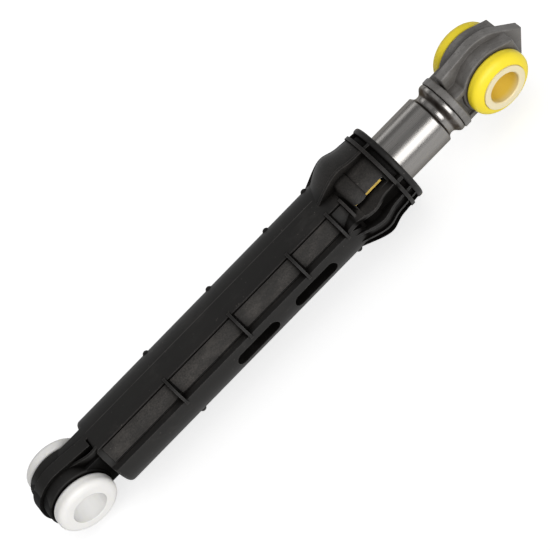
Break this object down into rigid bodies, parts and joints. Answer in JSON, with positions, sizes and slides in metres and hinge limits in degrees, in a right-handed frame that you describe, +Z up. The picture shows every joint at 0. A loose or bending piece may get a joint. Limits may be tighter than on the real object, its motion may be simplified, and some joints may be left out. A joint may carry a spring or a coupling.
{
  "type": "washing machine shock absorber",
  "caption": "Friction shock absorber of a washing machine: ribbed plastic housing, steel piston tube and an eye with a bush at each end.",
  "frame": {"origin": "on the axis of the tube, at the pin axis of the lower eye", "axes": "+X along the tube from the lower eye to the upper eye, +Y along both pins, +Z up as the part lies"},
  "size_m": [0.2476, 0.0374, 0.0376],
  "materials": {
    "black_plastic": "fine moulded texture with smooth rails",
    "grey_plastic": "satin, glass filled",
    "white_plastic": "smooth satin",
    "yellow_rubber": "smooth satin",
    "cream_plastic": "smooth satin",
    "tube_steel": "satin, polished along its length",
    "liner_foam": "open foam soaked in grease",
    "guide_plastic": "plain moulded"
  },
  "bodies": {
    "cylinder": {"housing": "black_plastic", "lower_bush": "white_plastic", "friction_liner": "liner_foam"},
    "guide": {"guide_ring": "guide_plastic"},
    "rod": {"piston_tube": "tube_steel", "head": "grey_plastic", "upper_bush": "yellow_rubber", "upper_sleeve": "cream_plastic"}
  },
  "joints": [
    {"name": "tube_slide", "type": "slide", "parent": "cylinder", "child": "guide", "axis": [1, 0, 0], "range_m": [-0.0235, 0.047]},
    {"name": "tube_swivel", "type": "hinge", "parent": "guide", "child": "rod", "pos_m": [0.09, 0, 0], "axis": [1, 0, 0], "continuous": true}
  ]
}
